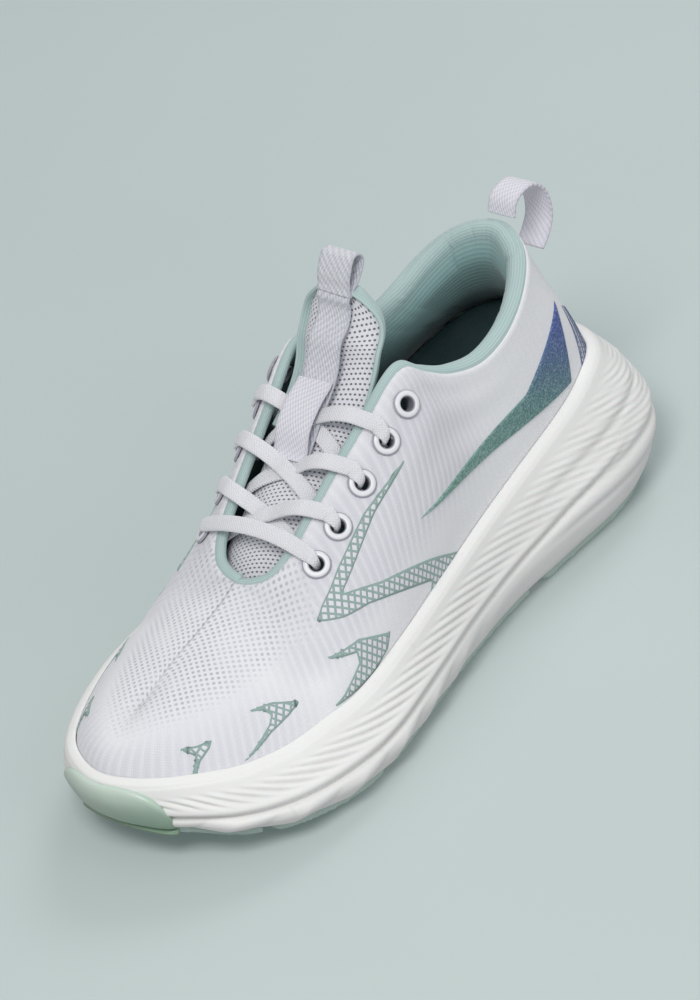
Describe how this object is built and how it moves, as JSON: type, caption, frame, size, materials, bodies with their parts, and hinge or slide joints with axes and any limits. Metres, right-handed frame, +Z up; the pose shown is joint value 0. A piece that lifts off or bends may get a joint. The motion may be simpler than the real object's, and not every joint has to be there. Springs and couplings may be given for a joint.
{
  "type": "running shoe",
  "caption": "Low-cut cushioned running shoe for the left foot: knit upper, padded collar and tongue, laces, thick foam midsole with flared heel and rubber tread pads.",
  "frame": {"origin": "middle of the whole shoe's footprint, at ground level", "axes": "+X to the toe, +Y to the outer (lateral) side of this left shoe, +Z up; the outsole rests on z = 0"},
  "size_m": [0.2811, 0.1108, 0.1393],
  "materials": {
    "knit_white": "engineered knit, matt",
    "lining_aqua": "brushed ribbed knit, matt",
    "lining_pale": "thin mesh, matt",
    "padding_foam": "soft open-cell foam",
    "stiffener": "thermoformed sheet",
    "eyestay_film": "fused film",
    "eyelet_ring": "moulded ring, satin",
    "midsole_foam": "moulded foam, satin skin",
    "outsole_rubber": "matt moulded rubber",
    "board": "stitched non-woven board",
    "sockliner_teal": "foam sheet with a brushed knit face",
    "tongue_mesh": "coarse dotted mesh",
    "webbing_lilac": "woven tape",
    "webbing_white": "woven tape",
    "lace_white": "flat woven lace",
    "aglet_clear": "heat-shrunk tip",
    "printed_panel": "printed film, blue to sage gradient with fine speckle"
  },
  "bodies": {
    "rearfoot": {"knit_upper_rear": "knit_white", "heel_counter": "stiffener", "collar_foam": "padding_foam", "lining_rear": "lining_aqua", "eyestay_lateral": "eyestay_film", "eyestay_medial": "eyestay_film", "collar_piping": "lining_aqua", "midsole_rear": "midsole_foam", "strobel_board_rear": "board", "sockliner_rear": "sockliner_teal", "outsole_heel_lateral": "outsole_rubber", "outsole_heel_medial": "outsole_rubber", "outsole_midfoot_lateral": "outsole_rubber", "outsole_ball_lateral": "outsole_rubber", "outsole_ball_medial": "outsole_rubber", "tongue_mesh_lower": "tongue_mesh", "tongue_foam_lower": "padding_foam", "tongue_lining_lower": "lining_aqua", "lace": "lace_white", "aglet_medial": "aglet_clear", "aglet_lateral": "aglet_clear", "lace_keeper": "webbing_lilac", "heel_pull_strap": "webbing_white", "side_panel_lateral": "printed_panel", "side_panel_medial": "printed_panel", "eyelet_lateral_1": "eyelet_ring", "eyelet_lateral_2": "eyelet_ring", "eyelet_lateral_3": "eyelet_ring", "eyelet_lateral_4": "eyelet_ring", "eyelet_lateral_5": "eyelet_ring", "eyelet_medial_1": "eyelet_ring", "eyelet_medial_2": "eyelet_ring", "eyelet_medial_3": "eyelet_ring", "eyelet_medial_4": "eyelet_ring", "eyelet_medial_5": "eyelet_ring"},
    "forefoot": {"knit_upper_fore": "knit_white", "toe_puff": "stiffener", "lining_vamp": "lining_pale", "midsole_fore": "midsole_foam", "strobel_board_fore": "board", "sockliner_fore": "sockliner_teal", "outsole_front_lateral": "outsole_rubber", "outsole_front_medial": "outsole_rubber", "outsole_toe": "outsole_rubber"},
    "tongue_top": {"tongue_mesh_upper": "tongue_mesh", "tongue_foam_upper": "padding_foam", "tongue_lining_upper": "lining_aqua", "tongue_binding": "lining_aqua", "tongue_webbing": "webbing_lilac"},
    "pull_loop": {"tongue_pull_loop": "webbing_lilac"}
  },
  "joints": [
    {"name": "forefoot_flex", "type": "hinge", "parent": "rearfoot", "child": "forefoot", "pos_m": [0.05891, 0, 0.022], "axis": [0, -1, 0], "range_deg": [0, 25]},
    {"name": "tongue_flex", "type": "hinge", "parent": "rearfoot", "child": "tongue_top", "pos_m": [-0.01301, 0, 0.09877], "axis": [0, 1, 0], "range_deg": [-35, 5]},
    {"name": "tongue_loop_flop", "type": "hinge", "parent": "tongue_top", "child": "pull_loop", "pos_m": [-0.03019, 0, 0.12789], "axis": [0, 1, 0], "range_deg": [-20, 40]}
  ]
}
